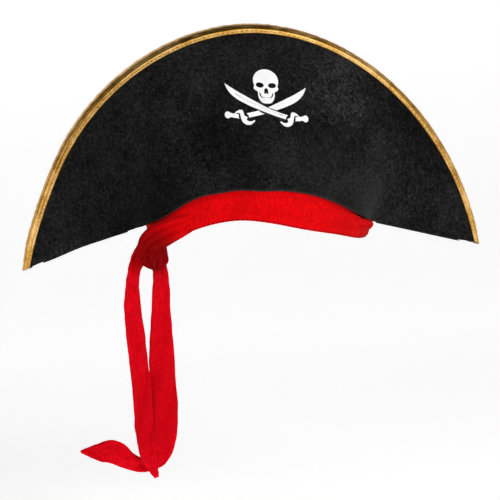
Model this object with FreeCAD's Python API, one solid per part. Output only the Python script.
import FreeCAD, Part
import math
import os

# Pirate hat: two foam-backed velour half-moons joined by a gold ribbon along their curved edge,
# with a red sash sewn round the head opening, knotted at one side, and two hanging ends.
# Millimetres. +Z up, the hat's front faces -Y, +X is to the right in a front view.
# The origin is the centre of the head opening, level with the inner ends of the bottom seams.

Vec = FreeCAD.Vector

# Steps for directions found by differences, and the gap closed when faces are sewn.
OUTLINE_STEP = 1e-4
NORMAL_STEP = 1e-3
SEW_TOLERANCE = 1e-4

# Outline in the front view: a superellipse cut off at the two tips.
OUTLINE_HALF_WIDTH = 210.0
OUTLINE_HALF_HEIGHT = 240.0
OUTLINE_POWER = 1.94
OUTLINE_CENTRE_Z = -60.0
TIP_ANGLE = 9.7

# Bottom edge of a half-moon: an arch over the face, then a straight seam out to the tip.
OPENING_HALF_WIDTH = 104.0
ARCH_HEIGHT = 32.6
ARCH_POWER = 1.2
SEAM_SLOPE = 0.269
SEAM_END_X = 188.0

# The bottom edge runs higher at the left, with a fuller shoulder to the arch.
LEFT_RISE = 4.6
LEFT_RISE_RAMP = 34.0
SHOULDER_RISE = 4.4
SHOULDER_X = -62.0
SHOULDER_SPREAD = 20.0
LEFT_TIP_DROP = 2.6
LEFT_TIP_START = 150.0

# How far a half-moon's outer face stands forward of the hat's middle plane.
SEAM_FORWARD = 5.2
CROWN_FORWARD = 11.0
OPENING_FORWARD = 82.0
OPENING_POWER = 0.7
CREASE_SOFTNESS = 0.03
CREASE_SPREAD = 0.9
TIP_NORMAL_LIMIT = 0.96

# Layers of a half-moon, as depths below its outer face.
VELOUR_DEPTHS = (0.0, 0.7)
FOAM_DEPTHS = (1.1, 3.3)
LINING_DEPTHS = (3.7, 4.2)
PANEL_STEPS = (48, 8)

# Gold ribbon: it overlaps each face and bulges outward between the two edges.
RIBBON_OVERLAP_CROWN = 6.0
RIBBON_OVERLAP_TIP = 2.7
RIBBON_OVERLAP_POWER = 1.5
RIBBON_LIFTS = (0.45, 1.15)
RIBBON_BULGE_CROWN = 5.0
RIBBON_BULGE_TIP = 4.2
RIBBON_BULGE_POWER = 3
RIBBON_SECTIONS = 56
RIBBON_LAP_SHARES = (1.0, 0.75, 0.5, 0.25)
RIBBON_ARC_ANGLES = (0.0, 12.0, 25.0, 38.0, 50.0, 61.0, 72.0, 81.0, 90.0)

# Stitches are short straight runs of thread lying on the fabric.
THREAD_RADIUS = 0.35
STITCH_CLEARANCE = 0.5
THREAD_APPROACH = 4.0
STITCH_INSET = 1.35
STITCH_RUN_END = 0.98
STITCH_AIM_STEP = 0.002
RIBBON_STITCH_COUNT = 64
RIBBON_STITCH_LENGTH = 4.0
HEM_STITCH_COUNT = 60
HEM_STITCH_LENGTH = 2.8
HEM_STITCH_RISE = 1.2
HEM_STITCH_AIM_DEGREES = 0.2
KNOT_HALF_ANGLE = 14.0
TURN_HALF_ANGLE = 30.0

# Bottom seam tape, under each tip.
TAPE_START_X = 113.0
TAPE_HALF_WIDTH = 4.6
TAPE_DEPTHS = (0.3, 0.9)
TAPE_STEPS = (8, 2)

# Sash band: its plan is a superellipse that changes with the distance below the arch.
# Each row is (fraction of the drop, half width, half depth). Above them the band tucks inward
# behind the panels, to the half width and half depth of the top row.
BAND_PLAN_POWER = 1.8
BAND_OVERLAP = 6.0
BAND_ROWS = ((0.0, 94.5, 82.0), (0.25, 96.0, 83.6), (0.6, 96.0, 84.2), (1.0, 94.0, 83.0))
BAND_TOP_ROW = (90.5, 77.6)
BAND_HEIGHT = 20.0
BAND_SAG = 12.5
BAND_SAG_X = 31.0
BAND_SAG_SPREAD = 51.0
BAND_LEFT_SHARE = 0.75
BAND_SAG_TURN = 25.0
BAND_CORNER_CUT_LEFT = 0.55
BAND_CORNER_CUT_RIGHT = 0.165
BAND_CORNER_POWER = 16
BAND_TURN_BULGE = 13.0
BAND_TURN_POWER = 9
BAND_TURN_RAMP = (0.05, 0.45, 1.0)
BAND_TURN_TAPER = 0.45
BAND_DEPTHS = (0.0, 1.5)
BAND_STEPS = (72, 8)
BAND_GAP_ANGLE = 207.0
BAND_GAP = 3.0
SWEATBAND_INSETS = (3.9, 4.5)
SWEATBAND_SHARES = (0.08, 0.66)
SWEATBAND_GAP_ANGLE = 90.0
SWEATBAND_GAP = 2.0

# Knot, a flattened ball of cloth outside the band.
KNOT_CENTRE = (-97.0, -38.5, -16.0)
KNOT_RADII = (13.5, 10.5, 17.0)
KNOT_TUCK_COUNT = 2
KNOT_TUCK_SPACING = 1.1
THREAD_CLEARANCE = 0.7

# Hanging ends. Each centre row is (x, z, width), from the pivot down.
TAIL_THICKNESS = 1.6
TAIL_FRONT_Y = -38.0
TAIL_FRONT_ROWS = (
    (-114.5, -30.0, 8.4),
    (-116.0, -61.0, 13.6),
    (-113.2, -114.0, 15.4),
    (-111.5, -170.0, 15.6),
    (-109.6, -191.0, 13.6),
    (-103.7, -212.0, 3.6),
)
TAIL_BACK_Y = -30.5
TAIL_BACK_ROWS = (
    (-89.5, -39.0, 12.4),
    (-91.2, -76.0, 16.5),
    (-92.3, -115.0, 21.4),
    (-92.2, -155.0, 22.0),
    (-93.4, -182.0, 20.0),
)
TAIL_BACK_POINT = (
    (-83.4, -182.0),
    (-91.0, -193.0),
    (-105.0, -206.0),
    (-126.0, -203.0),
    (-147.0, -196.0),
    (-167.0, -184.5),
    (-154.0, -181.0),
    (-141.0, -176.5),
    (-127.0, -186.5),
    (-112.0, -193.0),
    (-103.4, -182.0),
)

# Emblem, printed on the front velour, drawn in its own flat frame and turned a little.
EMBLEM_CENTRE = (7.3, 110.9)
EMBLEM_TURN = -5.5
PRINT_LIFTS = (0.3, 0.6)
PRINT_ACROSS = (-0.34, 0.34)
PRINT_UPWARD = (0.3, 0.9)
PRINT_STEPS = (20, 8)
PRISM_LENGTH = 100.0
OVAL_POINTS = 16
SKULL_CENTRE = (1.5, 14.2)
SKULL_HALF = (11.6, 11.6)
JAW_HALF_WIDTH = 7.6
JAW_TOP = 6.5
JAW_BOTTOM = -4.6
JAW_CORNER = (1.0, 2.0)
CHIN_INSET = 3.5
EYE_HALF = (3.3, 2.5)
EYE_OFFSET = (4.8, -4.4)
NOSE_HALF = (1.6, 2.4)
NOSE_DROP = 8.6
BLADE_TIP = (-34.6, 11.2)
BLADE_BELLY = (-12.4, -8.8)
BLADE_BACK = (-11.4, -2.7)
BLADE_HEEL_LOW = (18.8, -18.9)
BLADE_HEEL_HIGH = (20.2, -14.0)
GRIP_END = (34.6, -16.2)
GRIP_RADIUS = 1.9
POMMEL_RADIUS = 2.8
GUARD_HALF = (1.7, 6.2)
BLADE_GAP = 0.9

# Care label, flat against the inside of the rear.
LABEL_SIZE = (24.0, 0.4, 16.0)
LABEL_CENTRE = (0.0, 76.9, 18.0)


def mix(low, high, share):
    return low + (high - low) * share


def superellipse(half_x, half_y, power, angle):
    """Point of a superellipse in the direction of a polar angle."""
    cosine = math.cos(angle)
    sine = math.sin(angle)
    total = abs(cosine / half_x) ** power + abs(sine / half_y) ** power
    radius = total ** (-1.0 / power)
    return radius * cosine, radius * sine


def outline_frame(u):
    """Point and outward direction of the hat's outline, u from -1 (left tip) to 1 (right tip)."""
    angle = math.radians(90.0 - (90.0 - TIP_ANGLE) * u)
    points = []
    for nearby in (angle - OUTLINE_STEP, angle, angle + OUTLINE_STEP):
        x, z = superellipse(OUTLINE_HALF_WIDTH, OUTLINE_HALF_HEIGHT, OUTLINE_POWER, nearby)
        points.append(Vec(x, 0.0, z + OUTLINE_CENTRE_Z))
    along = points[2] - points[0]
    outward = Vec(along.z, 0.0, -along.x)
    outward.normalize()
    return points[1], outward


def ribbon_bulge(u):
    """Height of the ribbon's bulge over the curved edges of the two half-moons."""
    return mix(RIBBON_BULGE_CROWN, RIBBON_BULGE_TIP, abs(u) ** RIBBON_BULGE_POWER)


def ribbon_overlap(u):
    """How far the ribbon reaches over each face."""
    return mix(RIBBON_OVERLAP_CROWN, RIBBON_OVERLAP_TIP, abs(u) ** RIBBON_OVERLAP_POWER)


def edge_forward(u):
    """How far the curved edge of a half-moon stands forward of the middle plane."""
    reach = max(0.0, 1.0 - u * u)
    return mix(SEAM_FORWARD, CROWN_FORWARD, reach * reach)


def smoothstep(low, high, value):
    share = min(1.0, max(0.0, (value - low) / (high - low)))
    return share * share * (3.0 - 2.0 * share)


def left_rise(x):
    """How much higher the bottom edge runs at the left than at the right."""
    shoulder = math.exp(-(((x - SHOULDER_X) / SHOULDER_SPREAD) ** 2))
    rise = LEFT_RISE * smoothstep(0.0, LEFT_RISE_RAMP, -x) + SHOULDER_RISE * shoulder
    return rise - LEFT_TIP_DROP * smoothstep(LEFT_TIP_START, SEAM_END_X, -x)


def bottom_height(x):
    """Height of a half-moon's bottom edge."""
    share = abs(x) / OPENING_HALF_WIDTH
    if share < 1.0:
        return ARCH_HEIGHT * (1.0 - share * share) ** ARCH_POWER + left_rise(x)
    return left_rise(x) - (abs(x) - OPENING_HALF_WIDTH) * SEAM_SLOPE


def panel_face(u, v):
    """Outer face of the front half-moon: u across, v from the bottom edge to the curved edge."""
    rim, outward = outline_frame(u)
    top = rim - outward * ribbon_bulge(u)
    bottom_x = SEAM_END_X * u
    x = mix(bottom_x, top.x, v)
    z = mix(bottom_height(bottom_x), top.z, v)
    inside = 1.0 - (bottom_x / OPENING_HALF_WIDTH) ** 2
    softness = CREASE_SOFTNESS + CREASE_SPREAD * max(v, 0.0)
    opening = 0.5 * (inside + math.sqrt(inside * inside + softness * softness))
    forward = mix(SEAM_FORWARD, edge_forward(u), v)
    forward += OPENING_FORWARD * (1.0 - v) * opening ** OPENING_POWER
    return Vec(x, -forward, z)


def face_normal(place, a, b):
    """Unit normal of a face given as place(a, b), by differences."""
    across = place(a + NORMAL_STEP, b) - place(a - NORMAL_STEP, b)
    upward = place(a, b + NORMAL_STEP) - place(a, b - NORMAL_STEP)
    normal = across.cross(upward)
    normal.normalize()
    return normal


def panel_normal(u, v):
    """Normal of the front face. At the tips the two edges run together, so it is taken inside."""
    return face_normal(panel_face, max(-TIP_NORMAL_LIMIT, min(TIP_NORMAL_LIMIT, u)), v)


def offset_grid(place, normal, range_a, steps_a, range_b, steps_b, depth):
    rows = []
    for i in range(steps_a + 1):
        a = mix(range_a[0], range_a[1], i / steps_a)
        row = []
        for j in range(steps_b + 1):
            b = mix(range_b[0], range_b[1], j / steps_b)
            row.append(place(a, b) - normal(a, b) * depth)
        rows.append(row)
    return rows


def skin_through(grid):
    skin = Part.BSplineSurface()
    skin.interpolate(grid)
    return skin


def sheet_between(first_grid, second_grid):
    """Closed solid between two grids of points that have the same size."""
    skins = [skin_through(grid) for grid in (first_grid, second_grid)]
    faces = [skin.toShape() for skin in skins]
    u_low, u_high, v_low, v_high = skins[0].bounds()
    far_u_low, far_u_high, far_v_low, far_v_high = skins[1].bounds()
    for near, far in ((u_low, far_u_low), (u_high, far_u_high)):
        edges = [skins[0].uIso(near).toShape(), skins[1].uIso(far).toShape()]
        faces.append(Part.makeRuledSurface(edges[0], edges[1]))
    for near, far in ((v_low, far_v_low), (v_high, far_v_high)):
        edges = [skins[0].vIso(near).toShape(), skins[1].vIso(far).toShape()]
        faces.append(Part.makeRuledSurface(edges[0], edges[1]))
    shell = Part.Compound(faces)
    shell.sewShape(SEW_TOLERANCE)
    solid = Part.Solid(shell.Shells[0])
    if solid.Volume < 0:
        solid.reverse()
    return solid


def layer(place, normal, range_a, steps_a, range_b, steps_b, depths):
    sides = (range_a, steps_a, range_b, steps_b)
    grids = [offset_grid(place, normal, *sides, depth) for depth in depths]
    return sheet_between(grids[0], grids[1])


def panel_layer(depths):
    across, upward = PANEL_STEPS
    return layer(panel_face, panel_normal, (-1.0, 1.0), across, (0.0, 1.0), upward, depths)


def to_rear(shape):
    """Mirror a front piece to the rear half-moon."""
    return shape.mirror(Vec(0, 0, 0), Vec(0, 1, 0))


def overlap_share(u, distance):
    """The v at which a point lies this far inside the curved edge."""
    length = (panel_face(u, 1.0) - panel_face(u, 0.0)).Length
    return 1.0 - distance / length


def ribbon_section(u, lift):
    """One section of the ribbon, from the front face over the edge to the rear face."""
    points = []
    for share in RIBBON_LAP_SHARES:
        v = overlap_share(u, ribbon_overlap(u) * share)
        points.append(panel_face(u, v) + panel_normal(u, v) * lift)
    edge = panel_face(u, 1.0)
    outward = outline_frame(u)[1]
    bulge = ribbon_bulge(u) + lift - RIBBON_LIFTS[1]
    for degrees in RIBBON_ARC_ANGLES:
        angle = math.radians(degrees)
        height = outward * (bulge * math.sin(angle))
        forward = (edge_forward(u) + lift) * math.cos(angle)
        points.append(Vec(edge.x, -forward, edge.z) + height)
    for point in reversed(points[:-1]):
        points.append(Vec(point.x, -point.y, point.z))
    return points


def ribbon_grid(lift):
    shares = [-1.0 + 2.0 * i / RIBBON_SECTIONS for i in range(RIBBON_SECTIONS + 1)]
    return [ribbon_section(u, lift) for u in shares]


def gold_ribbon():
    return sheet_between(ribbon_grid(RIBBON_LIFTS[0]), ribbon_grid(RIBBON_LIFTS[1]))


def stitch_on(skin, point, outward, ahead, length):
    """Straight run of thread over the place on the skin that is nearest the point."""
    across, upward = skin.parameter(point)
    normal = skin.normal(across, upward)
    if normal.dot(outward) < 0:
        normal = normal * -1.0
    along = ahead - normal * ahead.dot(normal)
    along.normalize()
    middle = skin.value(across, upward) + normal * (THREAD_RADIUS + STITCH_CLEARANCE)
    return Part.makeCylinder(THREAD_RADIUS, length, middle - along * (length / 2.0), along)


def rest_on(body, point, outward):
    """Centre of a thread that lies over the body, where the body is nearest the point."""
    above = point + outward * THREAD_APPROACH
    foot = body.distToShape(Part.Vertex(above))[1][0][0]
    clear = above - foot
    clear.normalize()
    return foot + clear * (THREAD_RADIUS + STITCH_CLEARANCE)


def ribbon_stitches(ribbon):
    """Straight stitches along the front edge of the ribbon."""
    runs = []
    for i in range(RIBBON_STITCH_COUNT):
        u = mix(-STITCH_RUN_END, STITCH_RUN_END, i / (RIBBON_STITCH_COUNT - 1))
        v = overlap_share(u, ribbon_overlap(u) - STITCH_INSET)
        point, normal = panel_face(u, v), panel_normal(u, v)
        ahead = panel_face(u + STITCH_AIM_STEP, v) - panel_face(u - STITCH_AIM_STEP, v)
        ahead.normalize()
        reach = ahead * (RIBBON_STITCH_LENGTH / 2.0)
        tail = rest_on(ribbon, point - reach, normal)
        run = rest_on(ribbon, point + reach, normal) - tail
        runs.append(Part.makeCylinder(THREAD_RADIUS, run.Length, tail, run))
    return Part.Compound(runs)


def seam_line(a, b):
    """Underside of the right tip: a from the inner end to the tip, b from front to rear."""
    x = mix(TAPE_START_X, SEAM_END_X, a)
    return Vec(x, mix(-TAPE_HALF_WIDTH, TAPE_HALF_WIDTH, b), bottom_height(x))


def left_seam_line(a, b):
    right = seam_line(a, b)
    return Vec(-right.x, -right.y, bottom_height(-right.x))


def seam_tape(line):
    lengthwise, across = TAPE_STEPS

    def normal(a, b):
        return face_normal(line, a, b)

    return layer(line, normal, (0.0, 1.0), lengthwise, (0.0, 1.0), across, TAPE_DEPTHS)


def band_drop(x, y):
    """Visible height of the band below the arch; it sags at the front right."""
    deeper = BAND_LEFT_SHARE * left_rise(x)
    sag = BAND_SAG * math.exp(-(((x - BAND_SAG_X) / BAND_SAG_SPREAD) ** 2))
    front_share = 0.5 - 0.5 * math.tanh(y / BAND_SAG_TURN)
    cut = BAND_CORNER_CUT_RIGHT if x > 0.0 else BAND_CORNER_CUT_LEFT
    corner = 1.0 - cut * abs(x / BAND_ROWS[0][1]) ** BAND_CORNER_POWER
    return (BAND_HEIGHT + deeper + sag * front_share) * corner


def band_plan(rise):
    """Half width and half depth of the band; rise runs from -1 (bottom) to 1 (hidden top)."""
    if rise >= 0.0:
        top = BAND_ROWS[0]
        return mix(top[1], BAND_TOP_ROW[0], rise), mix(top[2], BAND_TOP_ROW[1], rise)
    fall = -rise
    for upper, lower in zip(BAND_ROWS, BAND_ROWS[1:]):
        if fall <= lower[0] or lower is BAND_ROWS[-1]:
            share = (fall - upper[0]) / (lower[0] - upper[0])
            return mix(upper[1], lower[1], share), mix(upper[2], lower[2], share)


def turn_swell(fall, turn):
    """Share of the band's outward bulge at the right; turn is 1 at its far right."""
    start, full, end = BAND_TURN_RAMP
    swell = smoothstep(start, full, fall) * (1.0 - BAND_TURN_TAPER * smoothstep(full, end, fall))
    return swell * max(0.0, turn) ** BAND_TURN_POWER


def band_heights(angle):
    """Height of the arch over this part of the band, and the band's drop below it."""
    x, y = superellipse(*BAND_ROWS[0][1:], BAND_PLAN_POWER, math.radians(angle))
    return bottom_height(x), band_drop(x, y)


def opening_wall(angle, share, bulge, inset):
    """Wall round the head opening: share runs from 0 at the lower edge to 1 at the hidden top."""
    arch, drop = band_heights(angle)
    height = share * (drop + BAND_OVERLAP)
    if height < drop:
        rise = height / drop - 1.0
    else:
        rise = (height - drop) / BAND_OVERLAP
    half_x, half_y = band_plan(rise)
    plan = (half_x - inset, half_y - inset, BAND_PLAN_POWER)
    x, y = superellipse(*plan, math.radians(angle))
    return Vec(x + bulge * turn_swell(-rise, x / half_x), y, arch - drop + height)


def band_face(angle, share):
    return opening_wall(angle, share, BAND_TURN_BULGE, 0.0)


def band_normal(angle, share):
    return face_normal(band_face, angle, share)


def sash_band_sides():
    angles = (BAND_GAP_ANGLE + BAND_GAP / 2.0, BAND_GAP_ANGLE + 360.0 - BAND_GAP / 2.0)
    around, upward = BAND_STEPS
    return (band_face, band_normal, angles, around, (0.0, 1.0), upward)


def sweatband_grid(inset):
    """The wall without the bulge, set in from the sash band."""
    around, upward = BAND_STEPS
    first = SWEATBAND_GAP_ANGLE + SWEATBAND_GAP / 2.0
    turn = 360.0 - SWEATBAND_GAP
    shares = [mix(*SWEATBAND_SHARES, j / upward) for j in range(upward + 1)]
    grid = []
    for i in range(around + 1):
        angle = first + turn * i / around
        grid.append([opening_wall(angle, share, 0.0, inset) for share in shares])
    return grid


def sweatband():
    return sheet_between(*[sweatband_grid(inset) for inset in SWEATBAND_INSETS])


def hem_stitches():
    runs = []
    skin = skin_through(offset_grid(*sash_band_sides(), BAND_DEPTHS[0]))
    for i in range(HEM_STITCH_COUNT):
        angle = 360.0 * (i + 0.5) / HEM_STITCH_COUNT
        near_knot = abs(angle - BAND_GAP_ANGLE) < KNOT_HALF_ANGLE
        near_turn = min(angle, 360.0 - angle) < TURN_HALF_ANGLE
        if near_knot or near_turn:
            continue
        share = HEM_STITCH_RISE / (band_heights(angle)[1] + BAND_OVERLAP)
        next_along = band_face(angle + HEM_STITCH_AIM_DEGREES, share)
        ahead = next_along - band_face(angle - HEM_STITCH_AIM_DEGREES, share)
        point = band_face(angle, share)
        runs.append(stitch_on(skin, point, band_normal(angle, share), ahead, HEM_STITCH_LENGTH))
    return Part.Compound(runs)


def knot():
    ball = Part.makeSphere(1.0)
    matrix = FreeCAD.Matrix()
    matrix.scale(Vec(*KNOT_RADII))
    matrix.move(Vec(*KNOT_CENTRE))
    return ball.transformGeometry(matrix)


def smooth_edge(points):
    curve = Part.BSplineCurve()
    curve.interpolate(points)
    return curve.toShape()


def tail_outline_edges(rows, y):
    """Left side, foot, right side and the half-round top about the pivot."""
    left = [Vec(x - width / 2.0, y, z) for x, z, width in rows]
    right = [Vec(x + width / 2.0, y, z) for x, z, width in rows]
    x, z, width = rows[0]
    crest = Vec(x, y, z + width / 2.0)
    top = Part.Arc(left[0], crest, right[0]).toShape()
    foot = Part.makeLine(left[-1], right[-1])
    return [top, smooth_edge(right), foot, smooth_edge(left)]


def slab(edges):
    """Sheet of cloth made from a flat outline in an XZ plane."""
    face = Part.Face(Part.Wire(Part.__sortEdges__(edges)))
    return face.extrude(Vec(0, TAIL_THICKNESS, 0))


def tail_front():
    return slab(tail_outline_edges(TAIL_FRONT_ROWS, TAIL_FRONT_Y))


def tail_back():
    strip = slab(tail_outline_edges(TAIL_BACK_ROWS, TAIL_BACK_Y))
    corners = [Vec(x, TAIL_BACK_Y, z) for x, z in TAIL_BACK_POINT]
    corners.append(corners[0])
    point = slab(Part.makePolygon(corners).Edges)
    return strip.fuse(point).removeSplitter()


def nearest_on(shape, point):
    return shape.distToShape(Part.Vertex(point))[1][0][0]


def knot_thread(band, ball):
    """Tucks of thread that cross from the band to the knot where the two are nearest."""
    closest = band.distToShape(ball)[1][0][0]
    runs = []
    for i in range(KNOT_TUCK_COUNT):
        on_band = nearest_on(band, closest + Vec(0, 0, KNOT_TUCK_SPACING * i))
        toward = nearest_on(ball, on_band) - on_band
        length = toward.Length - 2.0 * THREAD_CLEARANCE
        toward.normalize()
        start = on_band + toward * THREAD_CLEARANCE
        runs.append(Part.makeCylinder(THREAD_RADIUS, length, start, toward))
    return Part.Compound(runs)


def care_label():
    size = Vec(*LABEL_SIZE)
    corner = Vec(*LABEL_CENTRE) - size * 0.5
    return Part.makeBox(size.x, size.y, size.z, corner)


def emblem_point(x, z, mirrored=False):
    """Place a point of the emblem's flat frame on the XZ plane."""
    if mirrored:
        x = 2.0 * SKULL_CENTRE[0] - x
    turn = math.radians(EMBLEM_TURN)
    turned_x = x * math.cos(turn) - z * math.sin(turn)
    turned_z = x * math.sin(turn) + z * math.cos(turn)
    return Vec(EMBLEM_CENTRE[0] + turned_x, 0.0, EMBLEM_CENTRE[1] + turned_z)


def prism(edges):
    """Flat emblem outline, extended forward so that it crosses the front face."""
    face = Part.Face(Part.Wire(Part.__sortEdges__(edges)))
    return face.extrude(Vec(0, -PRISM_LENGTH, 0))


def emblem_oval(x, z, half_x, half_z):
    points = []
    for i in range(OVAL_POINTS):
        angle = 2.0 * math.pi * i / OVAL_POINTS
        points.append(emblem_point(x + half_x * math.cos(angle), z + half_z * math.sin(angle)))
    curve = Part.BSplineCurve()
    curve.interpolate(points, True)
    return prism([curve.toShape()])


def emblem_polygon(corners, mirrored=False):
    points = [emblem_point(x, z, mirrored) for x, z in corners]
    points.append(points[0])
    return prism(Part.makePolygon(points).Edges)


def print_sheet():
    lifts = [-lift for lift in PRINT_LIFTS]
    across, upward = PRINT_STEPS
    return layer(panel_face, panel_normal, PRINT_ACROSS, across, PRINT_UPWARD, upward, lifts)


def skull_outline():
    x, z = SKULL_CENTRE
    head = emblem_oval(x, z, *SKULL_HALF)
    corner_half = JAW_HALF_WIDTH - JAW_CORNER[0]
    chin_half = JAW_HALF_WIDTH - CHIN_INSET
    corners = [
        (x - JAW_HALF_WIDTH, JAW_TOP),
        (x + JAW_HALF_WIDTH, JAW_TOP),
        (x + corner_half, JAW_BOTTOM + JAW_CORNER[1]),
        (x + chin_half, JAW_BOTTOM),
        (x - chin_half, JAW_BOTTOM),
        (x - corner_half, JAW_BOTTOM + JAW_CORNER[1]),
    ]
    head = head.fuse(emblem_polygon(corners))
    for side in (-1, 1):
        head = head.cut(emblem_oval(x + side * EYE_OFFSET[0], z + EYE_OFFSET[1], *EYE_HALF))
    return head.cut(emblem_oval(x, z - NOSE_DROP, *NOSE_HALF))


def cutlass_outline(mirrored):
    """Curved blade with its tip at the left, then a guard, a grip and a round pommel."""
    tip = emblem_point(*BLADE_TIP, mirrored)
    heel_low = emblem_point(*BLADE_HEEL_LOW, mirrored)
    heel_high = emblem_point(*BLADE_HEEL_HIGH, mirrored)
    belly = Part.Arc(tip, emblem_point(*BLADE_BELLY, mirrored), heel_low).toShape()
    back = Part.Arc(tip, emblem_point(*BLADE_BACK, mirrored), heel_high).toShape()
    blade = prism([belly, Part.makeLine(heel_low, heel_high), back])
    heel_x = (BLADE_HEEL_LOW[0] + BLADE_HEEL_HIGH[0]) / 2.0
    heel_z = (BLADE_HEEL_LOW[1] + BLADE_HEEL_HIGH[1]) / 2.0
    guard_x, guard_z = GUARD_HALF
    guard = emblem_polygon(
        [
            (heel_x - guard_x, heel_z - guard_z),
            (heel_x + guard_x, heel_z - guard_z),
            (heel_x + guard_x, heel_z + guard_z),
            (heel_x - guard_x, heel_z + guard_z),
        ],
        mirrored,
    )
    grip = emblem_polygon(
        [
            (heel_x, heel_z - GRIP_RADIUS),
            (GRIP_END[0], GRIP_END[1] - GRIP_RADIUS),
            (GRIP_END[0], GRIP_END[1] + GRIP_RADIUS),
            (heel_x, heel_z + GRIP_RADIUS),
        ],
        mirrored,
    )
    pommel_x = GRIP_END[0]
    if mirrored:
        pommel_x = 2.0 * SKULL_CENTRE[0] - pommel_x
    pommel = emblem_oval(pommel_x, GRIP_END[1], POMMEL_RADIUS, POMMEL_RADIUS)
    return blade.fuse([guard, grip, pommel])


def widened_blade(mirrored):
    """The blade in front, a little larger, which cuts the gap in the one behind."""
    low = [(BLADE_TIP[0], BLADE_TIP[1] - BLADE_GAP), (BLADE_BELLY[0], BLADE_BELLY[1] - BLADE_GAP)]
    high = [(BLADE_BACK[0], BLADE_BACK[1] + BLADE_GAP), (BLADE_TIP[0], BLADE_TIP[1] + BLADE_GAP)]
    heel = [
        (BLADE_HEEL_LOW[0], BLADE_HEEL_LOW[1] - BLADE_GAP),
        (BLADE_HEEL_HIGH[0], BLADE_HEEL_HIGH[1] + BLADE_GAP),
    ]
    belly = Part.Arc(*[emblem_point(x, z, mirrored) for x, z in (low[0], low[1], heel[0])])
    back = Part.Arc(*[emblem_point(x, z, mirrored) for x, z in (heel[1], high[0], high[1])])
    heel_line = Part.makeLine(belly.EndPoint, back.StartPoint)
    tip_line = Part.makeLine(back.EndPoint, belly.StartPoint)
    return prism([belly.toShape(), heel_line, back.toShape(), tip_line])


def emblem_prints():
    sheet = print_sheet()
    skull = skull_outline()
    front_cutlass = cutlass_outline(False)
    rear_cutlass = cutlass_outline(True).cut(widened_blade(False))
    return {
        "skull_print": sheet.common(skull.cut([front_cutlass, rear_cutlass])),
        "cutlass_print_left": sheet.common(front_cutlass),
        "cutlass_print_right": sheet.common(rear_cutlass),
    }


def build_parts():
    band = layer(*sash_band_sides(), BAND_DEPTHS)
    ball = knot()
    ribbon = gold_ribbon()
    parts = {
        "front_velour_panel": panel_layer(VELOUR_DEPTHS),
        "front_foam_core": panel_layer(FOAM_DEPTHS),
        "front_lining_panel": panel_layer(LINING_DEPTHS),
        "gold_edge_ribbon": ribbon,
        "ribbon_stitches_front": ribbon_stitches(ribbon),
        "bottom_seam_tape_right": seam_tape(seam_line),
        "bottom_seam_tape_left": seam_tape(left_seam_line),
        "sash_band": band,
        "sash_hem_stitches": hem_stitches(),
        "sweatband": sweatband(),
        "sash_knot": ball,
        "knot_tack_thread": knot_thread(band, ball),
        "sash_tail_front": tail_front(),
        "sash_tail_back": tail_back(),
        "care_label": care_label(),
    }
    parts.update(emblem_prints())
    parts["back_velour_panel"] = to_rear(parts["front_velour_panel"])
    parts["back_foam_core"] = to_rear(parts["front_foam_core"])
    parts["back_lining_panel"] = to_rear(parts["front_lining_panel"])
    parts["ribbon_stitches_back"] = to_rear(parts["ribbon_stitches_front"])
    return parts


os.makedirs("parts", exist_ok=True)
for node, shape in build_parts().items():
    shape.exportStep("parts/" + node + ".step")
